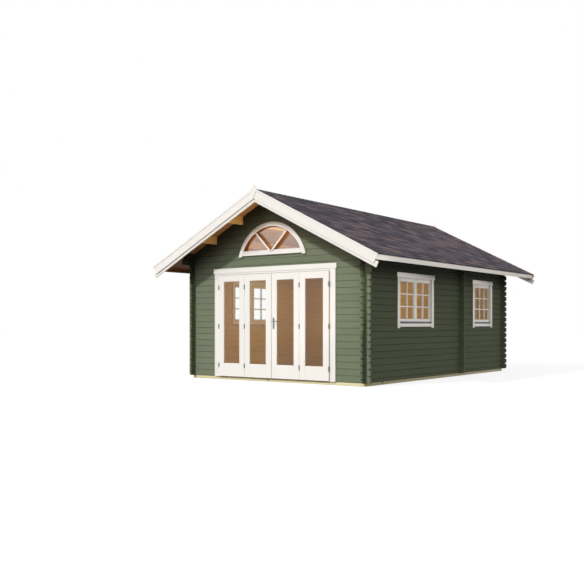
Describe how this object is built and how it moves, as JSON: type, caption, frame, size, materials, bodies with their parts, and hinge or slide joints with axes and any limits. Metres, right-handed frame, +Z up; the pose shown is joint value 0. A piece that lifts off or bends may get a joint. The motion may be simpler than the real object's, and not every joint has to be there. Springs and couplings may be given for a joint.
{
  "type": "log cabin",
  "caption": "Gabled log cabin with crossed log corners, a glazed folding door, an arched gable window, casement windows, white trim and a shingled saddle roof.",
  "frame": {"origin": "on the ground, under the middle of the cabin's outline", "axes": "+Y from the door gable to the back gable, along the ridge; +X to the right seen from the front; +Z up"},
  "size_m": [5.119, 7.048, 3.5543],
  "materials": {
    "green_log": "painted, matt",
    "white_wood": "painted, satin",
    "pine": "oiled, satin",
    "treated_pine": "treated, raw",
    "shingle": "mineral granules",
    "clear_glass": "clear",
    "steel": "satin",
    "grey_metal": "coated, satin"
  },
  "bodies": {
    "root": {"foundation_side_beams": "treated_pine", "foundation_cross_beams": "treated_pine", "floor_boards": "pine", "front_wall": "green_log", "back_wall": "green_log", "left_wall": "green_log", "right_wall": "green_log", "partition_wall": "green_log", "partition_door_lining": "pine", "ridge_purlin": "pine", "upper_purlins": "pine", "lower_purlins": "pine", "left_roof_boards": "pine", "right_roof_boards": "pine", "left_shingles": "shingle", "right_shingles": "shingle", "ridge_cap": "shingle", "front_bargeboards": "white_wood", "back_bargeboards": "white_wood", "front_inner_bargeboards": "white_wood", "back_inner_bargeboards": "white_wood", "eave_fascias": "white_wood", "door_frame": "white_wood", "door_casing": "white_wood", "door_threshold": "pine", "door_leaf_1": "white_wood", "door_leaf_2": "white_wood", "door_leaf_3": "white_wood", "door_leaf_4": "white_wood", "door_glass": "clear_glass", "door_hinges": "steel", "door_handle": "steel", "arch_window_frame": "pine", "arch_window_casing": "white_wood", "arch_window_glass": "clear_glass", "right_window_frames": "white_wood", "right_window_sashes": "white_wood", "right_window_glass": "clear_glass", "right_window_casings": "white_wood", "right_window_drips": "grey_metal", "left_window_frames": "white_wood", "left_window_sashes": "white_wood", "left_window_glass": "clear_glass", "left_window_casings": "white_wood", "left_window_drips": "grey_metal"}
  },
  "joints": []
}
